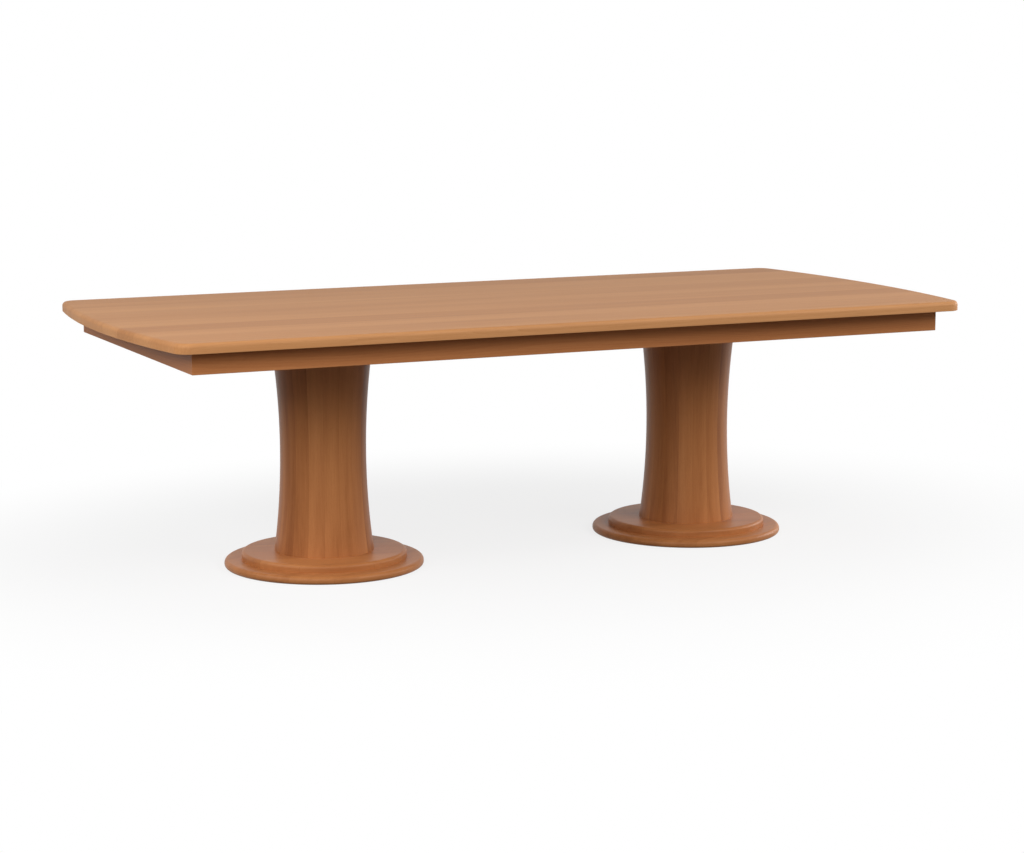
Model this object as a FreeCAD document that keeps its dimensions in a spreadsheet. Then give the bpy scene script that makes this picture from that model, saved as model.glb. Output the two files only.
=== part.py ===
import FreeCAD, Part
import math
import os
import re
import Sketcher
from FreeCAD import Placement, Rotation, Vector

# A dining table on two round pedestals. Sizes are in millimetres.
# X runs along the table, Y from the front to the back, Z up from the floor.
SIZES = {
    # Top: a panel with bowed ends and rounded corners.
    "table_height": 746,
    "top_length": 2530,
    "top_width": 1156,
    "top_thickness": 28.5,
    "end_bow": 53,
    "top_corner_radius": 45,
    "top_edge_radius": 12,
    "under_edge_radius": 1,
    # Apron frame: four rails mitred at the corners, with a saw kerf inside.
    "end_overhang": 103,
    "side_overhang": 60.5,
    "apron_height": 63,
    "apron_thickness": 22,
    "apron_ease_radius": 1.5,
    "kerf_drop": 11,
    "kerf_width": 3,
    "kerf_depth": 9,
    "block_leg": 75,
    "block_nose": 12,
    "block_height": 50,
    "block_screw_inset": 24,
    # Bearers: two over each pedestal, tenoned into the long rails.
    "bearer_width": 60,
    "bearer_height": 38,
    "bearer_offset": 125,
    "tenon_length": 10,
    "tenon_width": 34,
    "tenon_height": 20,
    # Mount plate between a column and its bearers.
    "plate_length": 330,
    "plate_width": 400,
    "plate_thickness": 25,
    "plate_corner_radius": 30,
    "plate_bolt_spread": 330,
    # Column: staves glued round a bore and turned to a waist.
    "pedestal_spacing": 1205,
    "column_foot_radius": 145,
    "column_waist_radius": 125,
    "column_waist_height": 295,
    "column_bore_radius": 88,
    "stave_count": 18,
    "plug_thickness": 40,
    # Base: a wide plinth disc and a smaller step disc on it.
    "plinth_radius": 291,
    "plinth_thickness": 23,
    "plinth_edge_radius": 12,
    "step_radius": 241,
    "step_thickness": 23,
    "step_edge_radius": 10,
    "base_ease_radius": 8,
    # Gaps that let the pieces go together.
    "fit_clearance": 0.15,
    "thread_clearance": 0.1,
    "hole_spare": 1,
    # Tie rod and its flange nuts.
    "rod_radius": 6,
    "rod_play": 0.75,
    "rod_rise": 18,
    "rod_inset": 1,
    "nut_corner_radius": 11,
    "nut_height": 10,
    "nut_flange_radius": 14,
    "nut_flange_thickness": 3,
    "nut_recess_radius": 18,
    "nut_recess_depth": 15,
    # Bolts and threaded inserts that hold the plates to the bearers.
    "bolt_radius": 4,
    "bolt_play": 0.5,
    "bolt_bite": 20,
    "bolt_corner_radius": 7.5,
    "bolt_head_height": 5.5,
    "bolt_flange_radius": 9.5,
    "bolt_flange_thickness": 1.6,
    "insert_radius": 6.5,
    "insert_length": 24,
    # Wood screws: up into the top, through the clips, and up into the step discs.
    "screw_radius": 2.5,
    "screw_head_radius": 5.5,
    "screw_head_height": 3.5,
    "screw_play": 0.5,
    "screw_head_play": 1.5,
    "screw_grip": 20,
    "screw_bite": 14,
    "slot_travel": 5,
    "base_screw_ring_radius": 180,
    "base_screw_count": 6,
    "base_screw_grip": 14,
    "base_screw_bite": 18,
    # Steel clips that hold the top down to the apron kerf.
    "clip_thickness": 2,
    "clip_width": 16,
    "clip_tongue": 8,
    "clip_step": 6,
    "clip_reach": 28,
    "clip_screw_reach": 18,
    # Dowels that keep a column from turning on its base and its plate.
    "dowel_radius": 5,
    "dowel_ring_radius": 55,
    "dowel_depth": 16,
    # Levelling glides: a pad on a threaded stem in a flanged insert, wound in clear of the floor.
    "pad_inset": 0.4,
    "glide_spread": 297,
    "glide_recess_radius": 22,
    "glide_recess_depth": 13,
    "glide_insert_radius": 7.5,
    "glide_insert_length": 18,
    "glide_flange_radius": 12,
    "glide_flange_thickness": 1.5,
    "pad_radius": 19,
    "pad_foot_radius": 16.5,
    "pad_rim_height": 2,
    "pad_thickness": 7,
    "socket_depth": 4,
    "spigot_radius": 4,
    "spigot_clearance": 0.1,
    "stem_radius": 5,
    "stem_clearance": 0.3,
    "stem_reach": 28,
    "collar_corner_radius": 9,
    "collar_clearance": 0.3,
}
# Places along a rail or bearer, as shares of its length from its middle.
LONG_CLIP_SHARES = (-0.43, -0.14, 0.14, 0.43)
END_CLIP_SHARES = (-0.25, 0.25)
BEARER_SCREW_SHARES = (-0.4, 0, 0.4)

# Lengths and levels that follow from the sizes.
UNDERSIDE = "(table_height - top_thickness)"
APRON_LENGTH = "(top_length - 2 * end_overhang)"
APRON_WIDTH = "(top_width - 2 * side_overhang)"
INNER_LENGTH = f"({APRON_LENGTH} - 2 * apron_thickness)"
INNER_WIDTH = f"({APRON_WIDTH} - 2 * apron_thickness)"
BEARER_FOOT = f"({UNDERSIDE} - bearer_height)"
PLATE_FOOT = f"({BEARER_FOOT} - plate_thickness)"
STEP_FOOT = "plinth_thickness"
COLUMN_FOOT = f"({STEP_FOOT} + step_thickness)"
COLUMN_HEIGHT = f"({PLATE_FOOT} - {COLUMN_FOOT})"
PAD_TOP = "(pad_inset + pad_thickness)"
COLLAR_TOP = "(glide_recess_depth - glide_flange_thickness - collar_clearance)"
STEM_TOP = f"({COLLAR_TOP} + stem_reach)"
SIDES = {"left": -1, "right": 1}
ENDS = {"front": -1, "rear": 1}

doc = FreeCAD.newDocument("double_pedestal_table")
sheet = doc.addObject("Spreadsheet::Sheet", "sizes")
for row, (alias, number) in enumerate(SIZES.items(), start=1):
    sheet.set(f"A{row}", alias)
    sheet.set(f"B{row}", str(number))
    sheet.setAlias(f"B{row}", alias)
doc.recompute()
parts = []


def size(alias):
    return float(sheet.get(alias))


def formula(text):
    """Turn size names into references to the sheet's cells."""
    return re.sub(r"[a-z_]+", lambda m: f"sizes.{m[0]}" if m[0] in SIZES else m[0], str(text))


def bind(item, **formulas):
    for name, text in formulas.items():
        item.setExpression(name, formula(text))


def place(item, x="0", y="0", z="0", turn=0, upside_down=False):
    flip = Rotation(Vector(1, 0, 0), 180 if upside_down else 0)
    item.Placement = Placement(Vector(), Rotation(Vector(0, 0, 1), turn) * flip)
    for axis, text in (("x", x), ("y", y), ("z", z)):
        item.setExpression(f"Placement.Base.{axis}", formula(text))


def add_part(item, label):
    item.Label = label
    parts.append(item)
    return item


def new_body(label):
    return add_part(doc.addObject("PartDesign::Body", label), label)


def sketch_on(body, plane="XY_Plane", level="0"):
    sketch = body.newObject("Sketcher::SketchObject", f"{body.Name}_sketch")
    support = next(item for item in body.Origin.OriginFeatures if item.Role == plane)
    sketch.AttachmentSupport = [(support, "")]
    sketch.MapMode = "FlatFace"
    sketch.setExpression("AttachmentOffset.Base.z", formula(level))
    return sketch


def measure(sketch, kind, *targets, text):
    """Add a dimension to a sketch and bind it to the sheet."""
    number = sketch.addConstraint(Sketcher.Constraint(kind, *targets))
    sketch.setExpression(f"Constraints[{number}]", formula(text))


def fix_point(sketch, curve, end, x, y):
    point = sketch.getPoint(curve, end)
    measure(sketch, "DistanceX", -1, 1, curve, end, point.x, text=x)
    measure(sketch, "DistanceY", -1, 1, curve, end, point.y, text=y)


def add_polygon(sketch, corners):
    """Draw a closed outline through corners given as pairs of formulas."""
    count = len(corners)
    first = sketch.GeometryCount
    angles = [math.tau * i / count for i in range(count)]
    points = [Vector(math.cos(angle), math.sin(angle), 0) for angle in angles]
    for i in range(count):
        sketch.addGeometry(Part.LineSegment(points[i], points[(i + 1) % count]), False)
    for i in range(count):
        sketch.addConstraint(Sketcher.Constraint("Coincident", first + i, 2, first + (i + 1) % count, 1))
    for i, (x, y) in enumerate(corners):
        fix_point(sketch, first + i, 1, x, y)


def add_rectangle(sketch, x, y, width, depth):
    """Draw a rectangle about a middle point."""
    left, right = f"{x} - {width} / 2", f"{x} + {width} / 2"
    front, rear = f"{y} - {depth} / 2", f"{y} + {depth} / 2"
    add_polygon(sketch, [(left, front), (right, front), (right, rear), (left, rear)])


def add_circle(sketch, x, y, radius):
    curve = sketch.addGeometry(Part.Circle(Vector(1, 1, 0), Vector(0, 0, 1), 1), False)
    fix_point(sketch, curve, 3, x, y)
    measure(sketch, "Radius", curve, 1.0, text=radius)


def add_slot(sketch, x, y, radius, travel):
    """Draw a round-ended slot that runs along the sketch's Y."""
    if travel == "0":
        add_circle(sketch, x, y, radius)
        return
    rear_end, front_end = (Part.Circle(Vector(0, y_unit, 0), Vector(0, 0, 1), 1) for y_unit in (1, -1))
    rear = sketch.addGeometry(Part.ArcOfCircle(rear_end, 0, math.pi), False)
    front = sketch.addGeometry(Part.ArcOfCircle(front_end, math.pi, math.tau), False)
    left = sketch.addGeometry(Part.LineSegment(Vector(-1, 1, 0), Vector(-1, -1, 0)), False)
    right = sketch.addGeometry(Part.LineSegment(Vector(1, -1, 0), Vector(1, 1, 0)), False)
    for line, start, end in ((left, rear, front), (right, front, rear)):
        sketch.addConstraint(Sketcher.Constraint("Tangent", start, 2, line, 1))
        sketch.addConstraint(Sketcher.Constraint("Tangent", line, 2, end, 1))
    sketch.addConstraint(Sketcher.Constraint("Equal", rear, front))
    fix_point(sketch, rear, 3, x, f"{y} + {travel}")
    fix_point(sketch, front, 3, x, f"{y} - {travel}")
    measure(sketch, "Radius", rear, 1.0, text=radius)


def pad(body, sketch, length, both_ways=False):
    feature = body.newObject("PartDesign::Pad", f"{body.Name}_pad")
    feature.Profile = sketch
    bind(feature, Length=length)
    if both_ways:
        feature.SideType = "Symmetric"
    doc.recompute()
    return feature


def pocket(body, sketch, depth=None, upward=False):
    """Cut a sketch into a body, right through it both ways when no depth is given."""
    before = body.Shape.Volume
    feature = body.newObject("PartDesign::Pocket", f"{body.Name}_pocket")
    feature.Profile = sketch
    feature.Reversed = upward
    if depth is None:
        feature.Type = "ThroughAll"
        feature.SideType = "Symmetric"
    else:
        bind(feature, Length=depth)
    doc.recompute()
    if feature.Shape.Volume >= before:
        raise RuntimeError(f"{feature.Name} cuts nothing")
    return feature


def drill(body, spots, radius, level="0", depth=None, upward=False):
    """Cut round holes at a list of spots."""
    sketch = sketch_on(body, level=level)
    for x, y in spots:
        add_circle(sketch, x, y, radius)
    return pocket(body, sketch, depth, upward)


def ring(body, features, count):
    """Repeat cuts round the body's upright axis."""
    pattern = body.newObject("PartDesign::PolarPattern", f"{body.Name}_ring")
    pattern.Originals = features
    pattern.Axis = (features[0].Profile[0], ["N_Axis"])
    pattern.Angle = 360
    bind(pattern, Occurrences=count)
    body.Tip = pattern
    doc.recompute()


def round_edges(body, names, radius):
    feature = body.newObject("PartDesign::Fillet", f"{body.Name}_round")
    feature.Base = (feature.BaseFeature, names)
    bind(feature, Radius=radius)
    doc.recompute()
    return feature


def end_face(body, direction):
    """Name the face that lies furthest in a direction."""
    faces = body.Shape.Faces
    furthest = max(range(len(faces)), key=lambda i: faces[i].CenterOfMass.dot(direction))
    return f"Face{furthest + 1}"


def lower_rear_edge(body):
    """Name the edge that lies furthest down and back."""
    edges = body.Shape.Edges
    furthest = max(range(len(edges)), key=lambda i: edges[i].CenterOfMass.dot(Vector(0, 1, -1)))
    return f"Edge{furthest + 1}"


def upright_edges(body):
    names = []
    for number, edge in enumerate(body.Shape.Edges, start=1):
        run = edge.Vertexes[-1].Point - edge.Vertexes[0].Point
        if run.Length > 0 and abs(run.z) == max(abs(run.x), abs(run.y), abs(run.z)):
            names.append(f"Edge{number}")
    return names


def solid(kind, label, **formulas):
    item = doc.addObject(kind, label)
    bind(item, **formulas)
    return item


def cylinder(label, radius, height, z="0"):
    item = solid("Part::Cylinder", label, Radius=radius, Height=height)
    place(item, z=z)
    return item


def hexagon(label, corner_radius, height, z="0"):
    item = solid("Part::Prism", label, Circumradius=corner_radius, Height=height)
    item.Polygon = 6
    place(item, z=z)
    return item


def fuse(label, pieces):
    item = doc.addObject("Part::MultiFuse", label)
    item.Shapes = pieces
    return item


def cut(label, base, tool):
    item = doc.addObject("Part::Cut", label)
    item.Base = base
    item.Tool = tool
    return item


def group(label, master, spots):
    """Repeat one piece at spots given as keyword sets for place()."""
    links = []
    for number, spot in enumerate(spots):
        link = doc.addObject("App::Link", f"{label}_{number}")
        link.LinkedObject = master
        place(link, **spot)
        links.append(link)
    compound = doc.addObject("Part::Compound", label)
    compound.Links = links
    return add_part(compound, label)


def bearer_places():
    """List each bearer's name and the formula for its X."""
    for side, sign in SIDES.items():
        for name, outward in (("outer", sign), ("inner", -sign)):
            yield f"{side}_{name}_bearer", f"({sign} * pedestal_spacing / 2 + {outward} * bearer_offset)"


def top_screw_spots():
    spots = []
    for name, x in bearer_places():
        spots += [(x, f"({share} * {INNER_WIDTH})") for share in BEARER_SCREW_SHARES]
    for across in SIDES.values():
        for deep in ENDS.values():
            spots.append((f"({across} * ({INNER_LENGTH} / 2 - block_screw_inset))",
                          f"({deep} * ({INNER_WIDTH} / 2 - block_screw_inset))"))
    return spots


def outward_turn(across, deep):
    """Give the turn about Z that points a piece's own Y outward on one side of the frame."""
    return math.degrees(math.atan2(-across, deep))


def clip_frames():
    """List where each clip meets its rail: X, Y and the turn that faces it outward."""
    frames = []
    for deep in ENDS.values():
        for share in LONG_CLIP_SHARES:
            spot = (f"({share} * {APRON_LENGTH})", f"({deep} * {INNER_WIDTH} / 2)")
            frames.append((*spot, outward_turn(0, deep)))
    for across in SIDES.values():
        for share in END_CLIP_SHARES:
            spot = (f"({across} * {INNER_LENGTH} / 2)", f"({share} * {APRON_WIDTH})")
            frames.append((*spot, outward_turn(across, 0)))
    return frames


def clip_screw_spots():
    spots = []
    for x, y, turn in clip_frames():
        toward_x = round(math.sin(math.radians(turn)))
        toward_y = -round(math.cos(math.radians(turn)))
        spots.append((f"({x} + {toward_x} * clip_screw_reach)", f"({y} + {toward_y} * clip_screw_reach)"))
    return spots


def make_top():
    body = new_body("table_top")
    sketch = sketch_on(body)
    half_length, half_width = size("top_length") / 2, size("top_width") / 2
    shoulder = half_length - size("end_bow")
    corners = [Vector(-shoulder, -half_width, 0), Vector(shoulder, -half_width, 0),
               Vector(shoulder, half_width, 0), Vector(-shoulder, half_width, 0)]
    front = sketch.addGeometry(Part.LineSegment(corners[0], corners[1]), False)
    right = sketch.addGeometry(Part.Arc(corners[1], Vector(half_length, 0, 0), corners[2]), False)
    rear = sketch.addGeometry(Part.LineSegment(corners[2], corners[3]), False)
    left = sketch.addGeometry(Part.Arc(corners[3], Vector(-half_length, 0, 0), corners[0]), False)
    for line, arc in ((front, right), (rear, left)):
        sketch.addConstraint(Sketcher.Constraint("Coincident", line, 2, arc, 1))
    for arc, line in ((right, rear), (left, front)):
        sketch.addConstraint(Sketcher.Constraint("Coincident", arc, 2, line, 1))
    for line, side in ((front, -1), (rear, 1)):
        fix_point(sketch, line, 1, f"{side} * (top_length / 2 - end_bow)", f"{side} * top_width / 2")
        fix_point(sketch, line, 2, f"{-side} * (top_length / 2 - end_bow)", f"{side} * top_width / 2")
    bow_radius = "((top_width / 2) * (top_width / 2) + end_bow * end_bow) / (2 * end_bow)"
    for arc in (right, left):
        measure(sketch, "Radius", arc, half_length, text=bow_radius)
    pad(body, sketch, "top_thickness")
    round_edges(body, upright_edges(body), "top_corner_radius")
    round_edges(body, [end_face(body, Vector(0, 0, 1))], "top_edge_radius")
    round_edges(body, [end_face(body, Vector(0, 0, -1))], "under_edge_radius")
    pilots = top_screw_spots() + clip_screw_spots()
    drill(body, pilots, "screw_radius + thread_clearance", depth="screw_bite + hole_spare", upward=True)
    place(body, z=UNDERSIDE)


def make_apron(label, length, mortises, x="0", y="0", turn=0):
    """Make a mitred rail whose inner face lies on its own Y = 0."""
    body = new_body(label)
    sketch = sketch_on(body)
    add_polygon(sketch, [(f"-{length} / 2", "apron_thickness"), (f"apron_thickness - {length} / 2", "0"),
                         (f"{length} / 2 - apron_thickness", "0"), (f"{length} / 2", "apron_thickness")])
    pad(body, sketch, "apron_height")
    round_edges(body, [lower_rear_edge(body)], "apron_ease_radius")
    kerf = sketch_on(body, "YZ_Plane")
    add_rectangle(kerf, "0", "(apron_height - kerf_drop - kerf_width / 2)", "2 * kerf_depth", "kerf_width")
    pocket(body, kerf)
    if mortises:
        holes = sketch_on(body, "XZ_Plane")
        for name, middle in bearer_places():
            add_rectangle(holes, middle, "(apron_height - bearer_height / 2)",
                          "(tenon_width + 2 * fit_clearance)", "(tenon_height + 2 * fit_clearance)")
        pocket(body, holes, "tenon_length + hole_spare")
    place(body, x, y, f"{UNDERSIDE} - apron_height", turn)


def make_corner_block(label, across, deep):
    body = new_body(label)
    sketch = sketch_on(body)
    add_polygon(sketch, [("block_nose", "0"), ("block_leg", "0"), ("0", "block_leg"), ("0", "block_nose")])
    pad(body, sketch, "block_height")
    spot = [("block_screw_inset", "block_screw_inset")]
    drill(body, spot, "screw_radius + screw_play")
    drill(body, spot, "screw_head_radius + screw_head_play", depth="block_height - screw_grip", upward=True)
    turn = {(-1, -1): 0, (1, -1): 90, (1, 1): 180, (-1, 1): 270}[across, deep]
    place(body, f"{across} * {INNER_LENGTH} / 2", f"{deep} * {INNER_WIDTH} / 2",
          f"{UNDERSIDE} - block_height", turn)


def make_bearer(label, x):
    body = new_body(label)
    sketch = sketch_on(body)
    add_rectangle(sketch, "0", "0", "bearer_width", INNER_WIDTH)
    pad(body, sketch, "bearer_height")
    tenon = sketch_on(body, "XZ_Plane")
    add_rectangle(tenon, "0", "(bearer_height / 2)", "tenon_width", "tenon_height")
    pad(body, tenon, f"{INNER_WIDTH} + 2 * tenon_length", both_ways=True)
    slots = sketch_on(body)
    recesses = sketch_on(body)
    for share in BEARER_SCREW_SHARES:
        travel = "slot_travel" if share else "0"
        add_slot(slots, "0", f"({share} * {INNER_WIDTH})", "(screw_radius + screw_play)", travel)
        add_slot(recesses, "0", f"({share} * {INNER_WIDTH})", "(screw_head_radius + screw_head_play)", travel)
    pocket(body, slots)
    pocket(body, recesses, "bearer_height - screw_grip", upward=True)
    bolts = [("0", f"({deep} * plate_bolt_spread / 2)") for deep in ENDS.values()]
    drill(body, bolts, "insert_radius + thread_clearance", depth="insert_length + hole_spare", upward=True)
    place(body, x, "0", BEARER_FOOT)


def make_screw(label, grip, bite):
    """Make a pan-head wood screw whose head seats at Z = 0."""
    head = cylinder(f"{label}_head", "screw_head_radius", "screw_head_height", "-screw_head_height")
    shank = cylinder(f"{label}_shank", "screw_radius", f"{grip} + {bite}")
    return fuse(label, [head, shank])


def make_clip():
    """Make a bent clip: tongue in the kerf, flat against the underside of the top."""
    body = doc.addObject("PartDesign::Body", "top_clip")
    sketch = sketch_on(body, "YZ_Plane")
    tongue_foot = "-kerf_drop - clip_thickness"
    add_polygon(sketch, [("clip_tongue", "-kerf_drop"), ("clip_tongue", tongue_foot),
                         ("-clip_step", tongue_foot), ("-clip_step", "-clip_thickness"),
                         ("-clip_reach", "-clip_thickness"), ("-clip_reach", "0"),
                         ("clip_thickness - clip_step", "0"), ("clip_thickness - clip_step", "-kerf_drop")])
    pad(body, sketch, "clip_width", both_ways=True)
    drill(body, [("0", "-clip_screw_reach")], "screw_radius + screw_play", depth="clip_thickness")
    return body


def make_stave():
    """Make one stave: its outer face is turned to an arc with its waist at the given height."""
    sketch = doc.addObject("Sketcher::SketchObject", "stave_profile")
    sketch.Placement = Placement(Vector(), Rotation(Vector(1, 0, 0), 90))
    bore, foot, waist = (size(f"column_{name}_radius") for name in ("bore", "foot", "waist"))
    waist_height = size("column_waist_height")
    corners = [Vector(bore, 0, 0), Vector(foot, 0, 0), Vector(foot, 2 * waist_height, 0),
               Vector(bore, 2 * waist_height, 0)]
    under = sketch.addGeometry(Part.LineSegment(corners[0], corners[1]), False)
    face = sketch.addGeometry(Part.Arc(corners[2], Vector(waist, waist_height, 0), corners[1]), False)
    head = sketch.addGeometry(Part.LineSegment(corners[2], corners[3]), False)
    inside = sketch.addGeometry(Part.LineSegment(corners[3], corners[0]), False)
    lower, upper = (2, 1) if sketch.getPoint(face, 1).y > waist_height else (1, 2)
    sketch.addConstraint(Sketcher.Constraint("Coincident", under, 2, face, lower))
    sketch.addConstraint(Sketcher.Constraint("Coincident", face, upper, head, 1))
    sketch.addConstraint(Sketcher.Constraint("Coincident", head, 2, inside, 1))
    sketch.addConstraint(Sketcher.Constraint("Coincident", inside, 2, under, 1))
    sketch.addConstraint(Sketcher.Constraint("Horizontal", head))
    fix_point(sketch, under, 1, "column_bore_radius", "0")
    fix_point(sketch, under, 2, "column_foot_radius", "0")
    fix_point(sketch, inside, 1, "column_bore_radius", COLUMN_HEIGHT)
    flare = "(column_foot_radius - column_waist_radius)"
    measure(sketch, "Radius", face, foot, text=(
        f"({flare} * {flare} + column_waist_height * column_waist_height) / (2 * {flare})"))
    measure(sketch, "DistanceY", -1, 1, face, 3, waist_height, text="column_waist_height")
    stave = doc.addObject("Part::Revolution", "stave")
    stave.Source = sketch
    stave.Axis = Vector(0, 0, 1)
    stave.Solid = True
    stave.Symmetric = True
    bind(stave, Angle="360 / stave_count")
    doc.recompute()
    return stave


def make_plug(label, x, z, dowels_upward):
    """Make the disc glued into one end of a column's bore."""
    body = new_body(label)
    sketch = sketch_on(body)
    add_circle(sketch, "0", "0", "column_bore_radius - fit_clearance")
    pad(body, sketch, "plug_thickness")
    drill(body, [("0", "0")], "rod_radius + rod_play")
    level = "0" if dowels_upward else "plug_thickness"
    drill(body, dowel_spots(), "dowel_radius + fit_clearance", level, "dowel_depth + hole_spare",
          dowels_upward)
    place(body, x, "0", z)


def dowel_spots():
    return [(f"{sign} * dowel_ring_radius", "0") for sign in SIDES.values()]


def make_plate(label, x):
    body = new_body(label)
    sketch = sketch_on(body)
    add_rectangle(sketch, "0", "0", "plate_length", "plate_width")
    pad(body, sketch, "plate_thickness")
    round_edges(body, upright_edges(body), "plate_corner_radius")
    drill(body, [("0", "0")], "rod_radius + rod_play")
    drill(body, plate_bolt_spots(), "bolt_radius + bolt_play")
    drill(body, dowel_spots(), "dowel_radius + fit_clearance", depth="dowel_depth + hole_spare", upward=True)
    place(body, x, "0", PLATE_FOOT)


def plate_bolt_spots():
    return [(f"({across} * bearer_offset)", f"({deep} * plate_bolt_spread / 2)")
            for across in SIDES.values() for deep in ENDS.values()]


def make_plinth(label, x):
    body = new_body(label)
    sketch = sketch_on(body)
    add_circle(sketch, "0", "0", "plinth_radius")
    pad(body, sketch, "plinth_thickness")
    round_edges(body, [end_face(body, Vector(0, 0, 1))], "plinth_edge_radius")
    round_edges(body, [end_face(body, Vector(0, 0, -1))], "base_ease_radius")
    drill(body, [("0", "0")], "rod_radius + rod_play")
    drill(body, [("0", "0")], "nut_recess_radius", depth="nut_recess_depth", upward=True)
    corner = [("glide_spread / 2", "glide_spread / 2")]
    bore = drill(body, corner, "glide_insert_radius + thread_clearance")
    recess = drill(body, corner, "glide_recess_radius", depth="glide_recess_depth", upward=True)
    ring(body, [bore, recess], "4")
    first = [("base_screw_ring_radius", "0")]
    hole = drill(body, first, "screw_radius + screw_play")
    counterbore = drill(body, first, "screw_head_radius + screw_head_play",
                        depth="plinth_thickness - base_screw_grip", upward=True)
    ring(body, [hole, counterbore], "base_screw_count")
    place(body, x)


def make_step(label, x):
    body = new_body(label)
    sketch = sketch_on(body)
    add_circle(sketch, "0", "0", "step_radius")
    pad(body, sketch, "step_thickness")
    round_edges(body, [end_face(body, Vector(0, 0, 1))], "step_edge_radius")
    drill(body, [("0", "0")], "rod_radius + rod_play")
    drill(body, dowel_spots(), "dowel_radius + fit_clearance", "step_thickness", "dowel_depth + hole_spare")
    glide = drill(body, [("glide_spread / 2", "glide_spread / 2")], "glide_insert_radius + thread_clearance",
                  depth=f"{STEM_TOP} + hole_spare - {STEP_FOOT}", upward=True)
    ring(body, [glide], "4")
    pilot = drill(body, [("base_screw_ring_radius", "0")], "screw_radius + thread_clearance",
                  depth="base_screw_bite + hole_spare", upward=True)
    ring(body, [pilot], "base_screw_count")
    place(body, x, "0", STEP_FOOT)


def make_nut():
    """Make a flange nut that seats on Z = 0."""
    flange = cylinder("nut_flange", "nut_flange_radius", "nut_flange_thickness")
    head = hexagon("nut_hexagon", "nut_corner_radius", "nut_flange_thickness + nut_height")
    bore = cylinder("nut_bore", "rod_radius + thread_clearance", "nut_flange_thickness + nut_height")
    return cut("nut", fuse("nut_blank", [flange, head]), bore)


def make_bolt():
    """Make a flange bolt that seats under Z = 0 and points up."""
    flange = cylinder("bolt_flange", "bolt_flange_radius", "bolt_flange_thickness", "-bolt_flange_thickness")
    head_height = "(bolt_flange_thickness + bolt_head_height)"
    head = hexagon("bolt_hexagon", "bolt_corner_radius", head_height, f"-{head_height}")
    shank = cylinder("bolt_shank", "bolt_radius", "plate_thickness + bolt_bite")
    return fuse("bolt", [flange, head, shank])


def make_insert():
    sleeve = cylinder("insert_sleeve", "insert_radius", "insert_length")
    return cut("insert", sleeve, cylinder("insert_bore", "bolt_radius + thread_clearance", "insert_length"))


def make_glide_insert():
    """Make a flanged insert whose flange hangs below Z = 0."""
    foot = "-glide_flange_thickness"
    flange = cylinder("glide_flange", "glide_flange_radius", "glide_flange_thickness", foot)
    sleeve = cylinder("glide_sleeve", "glide_insert_radius", "glide_insert_length")
    bore_length = "glide_flange_thickness + glide_insert_length"
    bore = cylinder("glide_bore", "stem_radius + stem_clearance", bore_length, foot)
    return cut("glide_insert", fuse("glide_insert_blank", [flange, sleeve]), bore)


def make_glide(side, name, x, y):
    """Make one levelling glide: the pad and the stem that turns in it."""
    pad_body = new_body(f"{side}_glide_pad_{name}")
    profile = sketch_on(pad_body, "XZ_Plane")
    socket = "spigot_radius + spigot_clearance"
    socket_floor = "pad_thickness - socket_depth"
    add_polygon(profile, [("0", "0"), ("pad_foot_radius", "0"), ("pad_radius", "pad_rim_height"),
                          ("pad_radius", "pad_thickness"), (socket, "pad_thickness"),
                          (socket, socket_floor), ("0", socket_floor)])
    turned = pad_body.newObject("PartDesign::Revolution", f"{pad_body.Name}_turned")
    turned.Profile = profile
    turned.ReferenceAxis = (profile, ["V_Axis"])
    turned.Angle = 360
    doc.recompute()
    place(pad_body, x, y, "pad_inset")
    label = f"{side}_glide_stem_{name}"
    spigot = cylinder(f"{label}_spigot", "spigot_radius", "socket_depth - spigot_clearance",
                      f"{PAD_TOP} - socket_depth + spigot_clearance")
    collar = hexagon(f"{label}_collar", "collar_corner_radius", f"{COLLAR_TOP} - {PAD_TOP}", PAD_TOP)
    thread = cylinder(f"{label}_thread", "stem_radius", "stem_reach", COLLAR_TOP)
    place(add_part(fuse(label, [spigot, collar, thread]), label), x, y)


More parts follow.
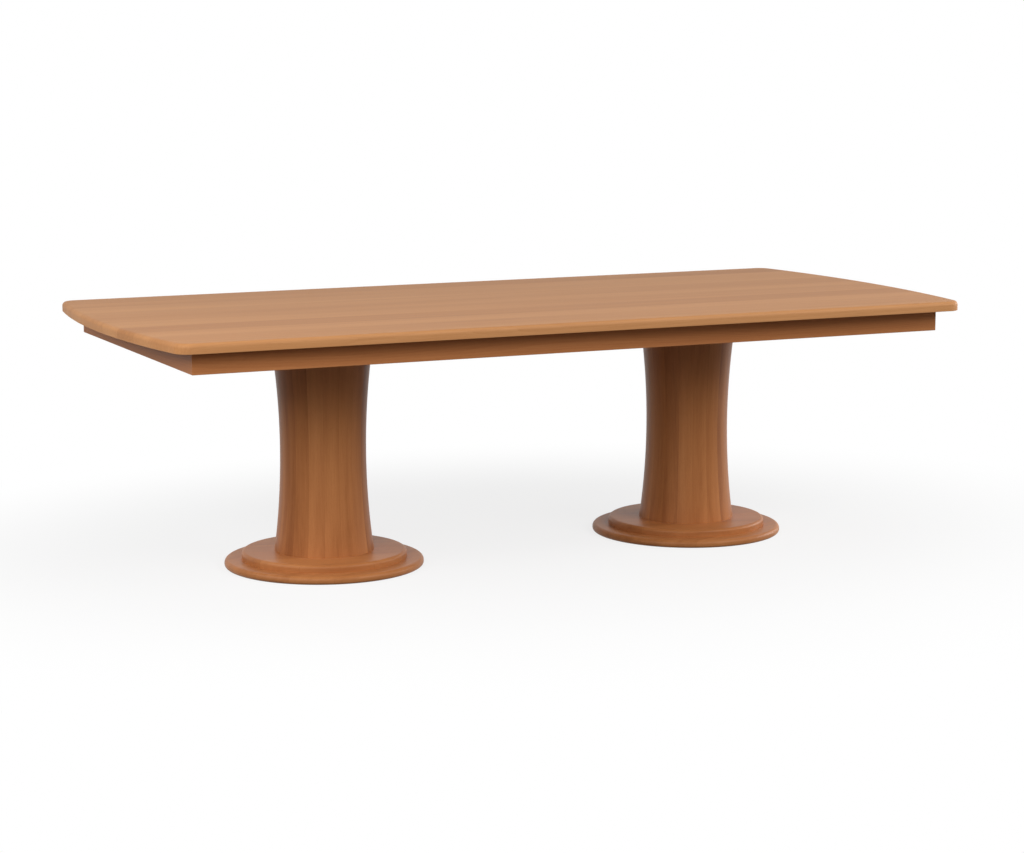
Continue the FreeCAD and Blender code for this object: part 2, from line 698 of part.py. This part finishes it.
def make_pedestal(side, sign, stave, nut, bolt, insert, base_screw, glide_insert):
    x = f"({sign} * pedestal_spacing / 2)"
    make_plate(f"{side}_mount_plate", x)
    bolts = [(f"{x} + {across}", deep) for across, deep in plate_bolt_spots()]
    group(f"{side}_plate_bolts", bolt, [dict(x=a, y=b, z=PLATE_FOOT) for a, b in bolts])
    group(f"{side}_plate_inserts", insert, [dict(x=a, y=b, z=BEARER_FOOT) for a, b in bolts])
    staves = int(size("stave_count"))
    group(f"{side}_column_staves", stave,
          [dict(x=x, z=COLUMN_FOOT, turn=360 * number / staves) for number in range(staves)])
    make_plug(f"{side}_column_foot_plug", x, COLUMN_FOOT, dowels_upward=True)
    make_plug(f"{side}_column_head_plug", x, f"{PLATE_FOOT} - plug_thickness", dowels_upward=False)
    dowel = cylinder(f"{side}_dowel", "dowel_radius", "2 * dowel_depth")
    group(f"{side}_locating_dowels", dowel, [
        dict(x=f"{x} + {across}", z=f"{level} - dowel_depth")
        for across, deep in dowel_spots() for level in (COLUMN_FOOT, PLATE_FOOT)])
    rod = cylinder(f"{side}_tie_rod", "rod_radius", f"{BEARER_FOOT} + rod_rise - rod_inset")
    place(add_part(rod, f"{side}_tie_rod"), x, "0", "rod_inset")
    group(f"{side}_tie_rod_nuts", nut, [
        dict(x=x, z=BEARER_FOOT), dict(x=x, z="nut_recess_depth", upside_down=True)])
    make_step(f"{side}_base_step", x)
    make_plinth(f"{side}_base_plinth", x)
    count = int(size("base_screw_count"))
    group(f"{side}_base_screws", base_screw, [
        dict(x=f"{x} + base_screw_ring_radius * cos({360 * i / count} deg)",
             y=f"base_screw_ring_radius * sin({360 * i / count} deg)",
             z=f"{STEP_FOOT} - base_screw_grip") for i in range(count)])
    feet = []
    for end, deep in ENDS.items():
        for place_name, outward in (("outer", sign), ("inner", -sign)):
            foot_x = f"{x} + {outward} * glide_spread / 2"
            foot_y = f"{deep} * glide_spread / 2"
            feet.append(dict(x=foot_x, y=foot_y, z="glide_recess_depth"))
            make_glide(side, f"{end}_{place_name}", foot_x, foot_y)
    group(f"{side}_glide_inserts", glide_insert, feet)


make_top()
for end, deep in ENDS.items():
    make_apron(f"{end}_apron", APRON_LENGTH, True, "0", f"{deep} * {INNER_WIDTH} / 2",
               outward_turn(0, deep))
for side, across in SIDES.items():
    make_apron(f"{side}_apron", APRON_WIDTH, False, f"{across} * {INNER_LENGTH} / 2", "0",
               outward_turn(across, 0))
for end, deep in ENDS.items():
    for side, across in SIDES.items():
        make_corner_block(f"corner_block_{end}_{side}", across, deep)
for bearer, bearer_x in bearer_places():
    make_bearer(bearer, bearer_x)
top_screw = make_screw("top_screw", "screw_grip", "screw_bite")
group("top_screws", top_screw, [dict(x=x, y=y, z=f"{UNDERSIDE} - screw_grip") for x, y in top_screw_spots()])
clip_screw = make_screw("clip_screw", "clip_thickness", "screw_bite")
group("clip_screws", clip_screw,
      [dict(x=x, y=y, z=f"{UNDERSIDE} - clip_thickness") for x, y in clip_screw_spots()])
group("top_clips", make_clip(), [dict(x=x, y=y, z=UNDERSIDE, turn=turn) for x, y, turn in clip_frames()])
shared = (make_stave(), make_nut(), make_bolt(), make_insert(),
          make_screw("base_screw", "base_screw_grip", "base_screw_bite"), make_glide_insert())
for side, sign in SIDES.items():
    make_pedestal(side, sign, *shared)
doc.recompute()

for item in doc.Objects:
    if "Invalid" in item.State or "Error" in item.State:
        raise RuntimeError(f"{item.Label} did not build: {item.State}")
os.makedirs("parts", exist_ok=True)
for part in parts:
    if part.Shape.isNull() or not part.Shape.isValid():
        raise RuntimeError(f"{part.Label} has no valid shape")
    part.Shape.exportStep(f"parts/{part.Label}.step")
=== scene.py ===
import math
import bpy
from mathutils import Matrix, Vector

# A dining table on two round pedestals. Lengths are in metres, in the frame of the solids:
# X along the table, Y from the front to the back, Z up from the floor.
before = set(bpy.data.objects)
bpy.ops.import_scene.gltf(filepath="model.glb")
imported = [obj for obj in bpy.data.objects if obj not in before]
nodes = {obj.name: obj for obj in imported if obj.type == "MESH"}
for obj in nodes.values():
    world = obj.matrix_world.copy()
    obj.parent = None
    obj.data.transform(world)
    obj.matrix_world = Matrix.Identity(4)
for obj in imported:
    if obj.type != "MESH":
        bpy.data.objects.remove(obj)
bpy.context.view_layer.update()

PEDESTAL_X = 0.6025
STAVE_COUNT = 18
FLOOR_REACH = 40.0
LAMP_TARGET = (0.0, 0.0, 0.35)
CAMERA_PLACE = (-3.220, -6.898, 1.5808)
CAMERA_PITCH = -0.1582
CAMERA_TURN = -0.4372
CAMERA_LENS = 90.19

# Each lamp: its name, place, width, height and power in watts.
LAMPS = [
    ("left", (-4.4, -0.3, 3.0), 3.6, 2.5, 125.0),
    ("front_left", (-2.1, -2.5, 1.7), 2.0, 1.3, 38.0),
    ("front_right", (2.3, -3.5, 3.1), 3.4, 2.5, 140.0),
    ("right", (4.9, 0.0, 1.4), 3.2, 1.6, 95.0),
    ("overhead", (0.0, 0.0, 3.55), 4.2, 2.8, 12.0),
]


class Shader:
    """One material, built node by node."""

    def __init__(self, name):
        self.material = bpy.data.materials.new(name)
        self.material.use_nodes = True
        self.tree = self.material.node_tree
        self.bsdf = self.tree.nodes["Principled BSDF"]

    def add(self, kind, values=None, out=0, **settings):
        item = self.tree.nodes.new(kind)
        for name, value in settings.items():
            setattr(item, name, value)
        for socket, value in (values or {}).items():
            self.feed(item.inputs[socket], value)
        return item.outputs[out]

    def feed(self, socket, value):
        if isinstance(value, bpy.types.NodeSocket):
            self.tree.links.new(value, socket)
        else:
            socket.default_value = value

    def set(self, **values):
        for name, value in values.items():
            self.feed(self.bsdf.inputs[name.replace("_", " ")], value)

    def math(self, operation, a, b=0.0):
        return self.add("ShaderNodeMath", {0: a, 1: b}, operation=operation)

    def sum(self, *terms):
        total = terms[0]
        for term in terms[1:]:
            total = self.math("ADD", total, term)
        return total

    def vector(self, x, y, z):
        return self.add("ShaderNodeCombineXYZ", {0: x, 1: y, 2: z})

    def noise(self, place, detail=2.0, roughness=0.5):
        """Noise about zero, from -0.5 to 0.5."""
        values = {"Vector": place, "Scale": 1.0, "Detail": detail, "Roughness": roughness}
        value = self.add("ShaderNodeTexNoise", values)
        return self.math("SUBTRACT", value, 0.5)

    def mix(self, share, a, b):
        return self.add("ShaderNodeMix", {0: share, 6: a, 7: b}, out=2, data_type="RGBA")

    def ramp(self, value, stops):
        item = self.tree.nodes.new("ShaderNodeValToRGB")
        elements = item.color_ramp.elements
        while len(elements) < len(stops):
            elements.new(0.5)
        for element, (place, colour) in zip(elements, stops):
            element.position = place
            element.color = (*colour, 1.0)
        self.tree.links.new(value, item.inputs[0])
        return item.outputs[0]

    def object_axes(self):
        place = self.add("ShaderNodeTexCoord", out="Object")
        item = self.tree.nodes.new("ShaderNodeSeparateXYZ")
        self.tree.links.new(place, item.inputs[0])
        return item.outputs["X"], item.outputs["Y"], item.outputs["Z"]

    def bump(self, height, strength, distance):
        normal = self.add("ShaderNodeBump", {"Height": height, "Strength": strength, "Distance": distance})
        self.set(Normal=normal)


def board_cells(shader, across, width):
    """Split a width into boards of uneven width: a number for each board, and the distance to its seam."""
    line = shader.math("DIVIDE", across, width)
    tone = shader.add("ShaderNodeTexVoronoi", {"W": line, "Scale": 1.0, "Randomness": 0.5}, out="Color",
                      voronoi_dimensions="1D")
    seam = shader.add("ShaderNodeTexVoronoi", {"W": line, "Scale": 1.0, "Randomness": 0.5}, out="Distance",
                      voronoi_dimensions="1D", feature="DISTANCE_TO_EDGE")
    return tone, shader.math("MULTIPLY", seam, width)


def stave_cells(shader, x, y):
    """Split a column into staves: a number for each, the place across, the radius and the seam distance."""
    offset = shader.math("SUBTRACT", shader.math("ABSOLUTE", x), PEDESTAL_X)
    angle = shader.math("ARCTAN2", y, offset)
    turns = shader.math("MULTIPLY", angle, STAVE_COUNT / math.tau)
    index = shader.math("ROUND", turns)
    local = shader.math("SUBTRACT", turns, index)
    side = shader.math("SIGN", x)
    number = shader.sum(index, shader.math("MULTIPLY", side, 61.7))
    tone = shader.add("ShaderNodeTexWhiteNoise", {"W": number}, out="Color", noise_dimensions="1D")
    square = shader.sum(shader.math("MULTIPLY", offset, offset), shader.math("MULTIPLY", y, y))
    radius = shader.math("SQRT", square)
    width = shader.math("MULTIPLY", radius, math.tau / STAVE_COUNT)
    across = shader.math("MULTIPLY", local, width)
    edge = shader.math("SUBTRACT", 0.5, shader.math("ABSOLUTE", local))
    return tone, across, radius, shader.math("MULTIPLY", edge, width)


def grain(shader, along, across, deep, tone, seam, stops, contrast=1.0, board_spread=0.3,
          streak=75.0, fine=0.26):
    """Fill in wood: broad bands, growth rings, streaks, fibres and pores along one axis."""
    split = shader.tree.nodes.new("ShaderNodeSeparateColor")
    shader.feed(split.inputs[0], tone)
    shift, tint, lift = split.outputs
    x = shader.sum(along, shader.math("MULTIPLY", shift, 17.0))
    y = shader.sum(across, shader.math("MULTIPLY", tint, 9.0))

    def place(long, wide):
        return shader.vector(shader.math("MULTIPLY", x, long), shader.math("MULTIPLY", y, wide),
                             shader.math("MULTIPLY", deep, wide))

    bands = shader.noise(place(0.45, 7.0), 2.0)
    wander = shader.noise(place(0.8, 9.0), 2.0)
    streaks = shader.noise(place(1.6, streak), 4.0, 0.6)
    fibres = shader.noise(place(9.0, 620.0), 3.0, 0.6)
    count = shader.sum(shader.math("MULTIPLY", y, 120.0), shader.math("MULTIPLY", deep, 70.0),
                       shader.math("MULTIPLY", wander, 16.0))
    rings = shader.math("SUBTRACT", shader.math("FRACT", count), 0.5)
    level = shader.sum(
        0.5,
        shader.math("MULTIPLY", bands, 0.55 * contrast),
        shader.math("MULTIPLY", streaks, 0.5 * contrast),
        shader.math("MULTIPLY", rings, 0.38 * fine * contrast),
        shader.math("MULTIPLY", fibres, fine * contrast),
        shader.math("MULTIPLY", shader.math("SUBTRACT", lift, 0.5), board_spread))
    colour = shader.ramp(level, stops)
    pores = shader.noise(place(42.0, 1500.0), 1.0)
    pore = shader.math("GREATER_THAN", pores, 0.17)
    colour = shader.mix(shader.math("MULTIPLY", pore, 0.28), colour, (*stops[0][1], 1.0))
    line = shader.math("LESS_THAN", seam, 0.0003)
    colour = shader.mix(shader.math("MULTIPLY", line, 0.45), colour, (*stops[0][1], 1.0))
    relief = shader.sum(shader.math("MULTIPLY", fibres, 0.6), shader.math("MULTIPLY", pore, -0.5),
                        shader.math("MULTIPLY", line, -1.2))
    return colour, fibres, streaks, relief


def lacquer(shader, colour, fibres, streaks, relief, rough=0.52):
    """Finish wood with a satin lacquer that follows the grain a little."""
    shader.set(Base_Color=colour, Specular_IOR_Level=0.15, IOR=1.5)
    shader.set(Roughness=shader.sum(rough, shader.math("MULTIPLY", fibres, 0.12),
                                    shader.math("MULTIPLY", streaks, 0.08)))
    shader.bump(relief, 0.10, 0.0004)


# Wood tones from dark to light grain, linear.
TOP_TONES = [(0.0, (0.329, 0.130, 0.042)), (0.45, (0.476, 0.214, 0.079)), (1.0, (0.634, 0.314, 0.130))]
RAIL_TONES = [(0.0, (0.273, 0.090, 0.026)), (0.45, (0.432, 0.161, 0.053)), (1.0, (0.572, 0.238, 0.086))]
ROUND_TONES = [(0.0, (0.257, 0.082, 0.023)), (0.45, (0.438, 0.164, 0.053)), (1.0, (0.589, 0.244, 0.086))]
BARE_TONES = [(0.0, (0.330, 0.205, 0.098)), (0.45, (0.480, 0.325, 0.180)), (1.0, (0.600, 0.440, 0.270))]


def top_wood():
    shader = Shader("top_wood")
    x, y, z = shader.object_axes()
    tone, seam = board_cells(shader, y, 0.118)
    lacquer(shader, *grain(shader, x, y, z, tone, seam, TOP_TONES, 1.0, 0.24))
    return shader.material


def rail_wood(name, along_x):
    shader = Shader(name)
    x, y, z = shader.object_axes()
    along, deep = (x, y) if along_x else (y, x)
    tone, seam = board_cells(shader, deep, 0.6)
    lacquer(shader, *grain(shader, along, z, deep, tone, 1.0, RAIL_TONES, 1.1, 0.2))
    return shader.material


def column_wood():
    shader = Shader("column_wood")
    x, y, z = shader.object_axes()
    tone, across, radius, seam = stave_cells(shader, x, y)
    wood = grain(shader, z, across, radius, tone, seam, ROUND_TONES, 2.0, 0.42, streak=30.0, fine=0.07)
    lacquer(shader, *wood, rough=0.40)
    return shader.material


def disc_wood(name, turn):
    """Boards glued side by side, with end grain where the edge cuts across them."""
    shader = Shader(name)
    x, y, z = shader.object_axes()
    cosine, sine = math.cos(turn), math.sin(turn)
    along = shader.sum(shader.math("MULTIPLY", x, cosine), shader.math("MULTIPLY", y, sine))
    across = shader.sum(shader.math("MULTIPLY", y, cosine), shader.math("MULTIPLY", x, -sine))
    tone, seam = board_cells(shader, across, 0.098)
    wood = grain(shader, along, across, z, tone, seam, ROUND_TONES, 1.2, 0.10, streak=45.0, fine=0.14)
    lacquer(shader, *wood, rough=0.40)
    return shader.material


def bare_wood(name, along_axis):
    """Planed hardwood with no finish, for what the top hides."""
    shader = Shader(name)
    axes = list(shader.object_axes())
    along = axes.pop(along_axis)
    across, deep = axes
    tone, seam = board_cells(shader, along, 9.0)
    colour, fibres, streaks, relief = grain(shader, along, across, deep, tone, 1.0, BARE_TONES, 1.0, 0.2)
    shader.set(Base_Color=colour, Roughness=shader.sum(0.72, shader.math("MULTIPLY", fibres, 0.2)))
    shader.bump(relief, 0.2, 0.0004)
    return shader.material


def plywood():
    """Veneers in layers: their edges show as stripes on the upright faces."""
    shader = Shader("plywood")
    x, y, z = shader.object_axes()
    tone, seam = board_cells(shader, y, 9.0)
    colour, fibres, streaks, relief = grain(shader, x, y, z, tone, 1.0, BARE_TONES, 0.8, 0.2)
    layer = shader.math("FRACT", shader.math("DIVIDE", z, 0.0042))
    dark_ply = shader.math("GREATER_THAN", layer, 0.5)
    normal = shader.tree.nodes.new("ShaderNodeSeparateXYZ")
    shader.feed(normal.inputs[0], shader.add("ShaderNodeNewGeometry", out="Normal"))
    upright = shader.math("LESS_THAN", shader.math("ABSOLUTE", normal.outputs["Z"]), 0.5)
    share = shader.math("MULTIPLY", shader.math("MULTIPLY", dark_ply, upright), 0.55)
    shader.set(Base_Color=shader.mix(share, colour, (0.250, 0.145, 0.068, 1.0)), Roughness=0.75)
    shader.bump(relief, 0.2, 0.0004)
    return shader.material


def metal(name, dark, light, rough):
    shader = Shader(name)
    x, y, z = shader.object_axes()
    cloud = shader.noise(shader.vector(shader.math("MULTIPLY", x, 160.0), shader.math("MULTIPLY", y, 160.0),
                                       shader.math("MULTIPLY", z, 160.0)), 3.0)
    turned = shader.noise(shader.vector(0.0, 0.0, shader.math("MULTIPLY", z, 5200.0)), 1.0)
    level = shader.sum(0.5, shader.math("MULTIPLY", cloud, 0.9), shader.math("MULTIPLY", turned, 0.5))
    shader.set(Base_Color=shader.ramp(level, [(0.1, dark), (0.9, light)]), Metallic=1.0,
               Roughness=shader.sum(rough, shader.math("MULTIPLY", cloud, 0.2)))
    shader.bump(turned, 0.15, 0.0002)
    return shader.material


def nylon():
    shader = Shader("glide_plastic")
    x, y, z = shader.object_axes()
    scuff = shader.noise(shader.vector(shader.math("MULTIPLY", x, 260.0), shader.math("MULTIPLY", y, 260.0),
                                       shader.math("MULTIPLY", z, 260.0)), 4.0, 0.7)
    level = shader.sum(0.5, scuff)
    shader.set(Base_Color=shader.ramp(level, [(0.2, (0.030, 0.026, 0.023)), (0.8, (0.062, 0.055, 0.048))]),
               Roughness=shader.sum(0.55, shader.math("MULTIPLY", scuff, 0.3)))
    shader.bump(scuff, 0.2, 0.0003)
    return shader.material


def dress(node, material):
    slots = nodes[node].data.materials
    slots.clear()
    slots.append(material)


def dress_nodes():
    front_rail, end_rail = rail_wood("apron_wood_long", True), rail_wood("apron_wood_end", False)
    column, plinth, step = column_wood(), disc_wood("plinth_wood", 0.35), disc_wood("step_wood", -0.2)
    bearer, block = bare_wood("bearer_wood", 1), bare_wood("block_wood", 2)
    ply, zinc = plywood(), metal("zinc_steel", (0.42, 0.43, 0.44), (0.70, 0.71, 0.72), 0.34)
    brass = metal("insert_brass", (0.48, 0.33, 0.13), (0.74, 0.56, 0.27), 0.32)
    pad = nylon()
    endings = [("_apron", front_rail), ("_column_staves", column), ("_base_plinth", plinth),
               ("_base_step", step), ("_bearer", bearer), ("_mount_plate", ply), ("_plug", ply),
               ("_locating_dowels", block),
               ("_inserts", brass)]
    for name in nodes:
        material = zinc
        for ending, choice in endings:
            if name.endswith(ending):
                material = choice
        if name in ("left_apron", "right_apron"):
            material = end_rail
        if name.startswith("corner_block"):
            material = block
        if "_glide_pad_" in name:
            material = pad
        if name == "table_top":
            material = top_wood()
        dress(name, material)


def seen_directly(tree):
    """1 for rays from the camera and for what gloss or glass shows, 0 for the rays that carry light."""
    path = tree.nodes.new("ShaderNodeLightPath")
    seen = path.outputs["Is Camera Ray"]
    for name in ("Is Glossy Ray", "Is Transmission Ray"):
        either = tree.nodes.new("ShaderNodeMath")
        either.operation = "MAXIMUM"
        tree.links.new(seen, either.inputs[0])
        tree.links.new(path.outputs[name], either.inputs[1])
        seen = either.outputs[0]
    return seen


def stage_piece(name, vertices, faces, shader):
    mesh = bpy.data.meshes.new(name)
    mesh.from_pydata(vertices, [], faces)
    mesh.materials.append(shader.material)
    shader.material.cycles.emission_sampling = "NONE"
    piece = bpy.data.objects.new(name, mesh)
    bpy.context.scene.collection.objects.link(piece)
    return piece


def make_floor():
    """A white sheet that keeps a faint shadow near the table and throws little light back up."""
    shader = Shader("floor")
    x, y, z = shader.object_axes()
    spot = shader.vector(shader.math("MULTIPLY", x, 1.3), shader.math("MULTIPLY", y, 1.3), 0.0)
    mottle = shader.noise(spot, 4.0)
    grey = shader.ramp(shader.sum(0.5, mottle), [(0.0, (0.14, 0.14, 0.14)), (1.0, (0.17, 0.17, 0.17))])
    reach = shader.math("SQRT", shader.sum(shader.math("POWER", shader.math("DIVIDE", x, 2.4), 2.0),
                                           shader.math("POWER", shader.math("DIVIDE", y, 1.9), 2.0)))
    share = shader.add("ShaderNodeMapRange", {"Value": reach, "From Min": 0.45, "From Max": 1.0,
                                              "To Min": 0.80, "To Max": 1.0}, interpolation_type="SMOOTHSTEP")
    lit = shader.add("ShaderNodeBsdfDiffuse", {"Color": (0.85, 0.85, 0.85, 1.0)})
    white = shader.add("ShaderNodeEmission", {"Color": (1.0, 1.0, 1.0, 1.0), "Strength": 1.0})
    sheet = shader.add("ShaderNodeMixShader", {0: share, 1: lit, 2: white})
    ground = shader.add("ShaderNodeBsdfDiffuse", {"Color": grey})
    both = shader.add("ShaderNodeMixShader", {0: seen_directly(shader.tree), 1: ground, 2: sheet})
    shader.tree.links.new(both, shader.tree.nodes["Material Output"].inputs["Surface"])
    corners = [(-FLOOR_REACH, -FLOOR_REACH, 0), (FLOOR_REACH, -FLOOR_REACH, 0),
               (FLOOR_REACH, FLOOR_REACH, 0), (-FLOOR_REACH, FLOOR_REACH, 0)]
    stage_piece("floor", corners, [(0, 1, 2, 3)], shader)


def area_light(name, place, width, height, power):
    """A soft lamp aimed at the middle of the table."""
    data = bpy.data.lights.new(name, "AREA")
    data.shape = "RECTANGLE"
    data.size, data.size_y = width, height
    data.energy = power
    light = bpy.data.objects.new(name, data)
    light.location = place
    light.rotation_euler = (Vector(LAMP_TARGET) - Vector(place)).to_track_quat("-Z", "Y").to_euler()
    bpy.context.scene.collection.objects.link(light)


def make_world():
    world = bpy.data.worlds.new("studio")
    bpy.context.scene.world = world
    world.use_nodes = True
    tree = world.node_tree
    dim = tree.nodes["Background"]
    dim.inputs["Color"].default_value = (1.0, 1.0, 1.0, 1.0)
    dim.inputs["Strength"].default_value = 0.02
    white = tree.nodes.new("ShaderNodeBackground")
    white.inputs["Color"].default_value = (1.0, 1.0, 1.0, 1.0)
    white.inputs["Strength"].default_value = 1.0
    switch = tree.nodes.new("ShaderNodeMixShader")
    tree.links.new(seen_directly(tree), switch.inputs[0])
    tree.links.new(dim.outputs[0], switch.inputs[1])
    tree.links.new(white.outputs[0], switch.inputs[2])
    tree.links.new(switch.outputs[0], tree.nodes["World Output"].inputs["Surface"])


def make_camera():
    data = bpy.data.cameras.new("camera")
    data.sensor_fit = "HORIZONTAL"
    data.sensor_width = 36.0
    data.lens = CAMERA_LENS
    data.clip_end = 200.0
    camera = bpy.data.objects.new("camera", data)
    camera.location = CAMERA_PLACE
    camera.rotation_euler = (math.pi / 2 + CAMERA_PITCH, 0.0, CAMERA_TURN)
    bpy.context.scene.collection.objects.link(camera)
    bpy.context.scene.camera = camera


make_camera()
make_world()
make_floor()
dress_nodes()
for lamp in LAMPS:
    area_light(*lamp)
bpy.context.scene.view_settings.view_transform = "Standard"
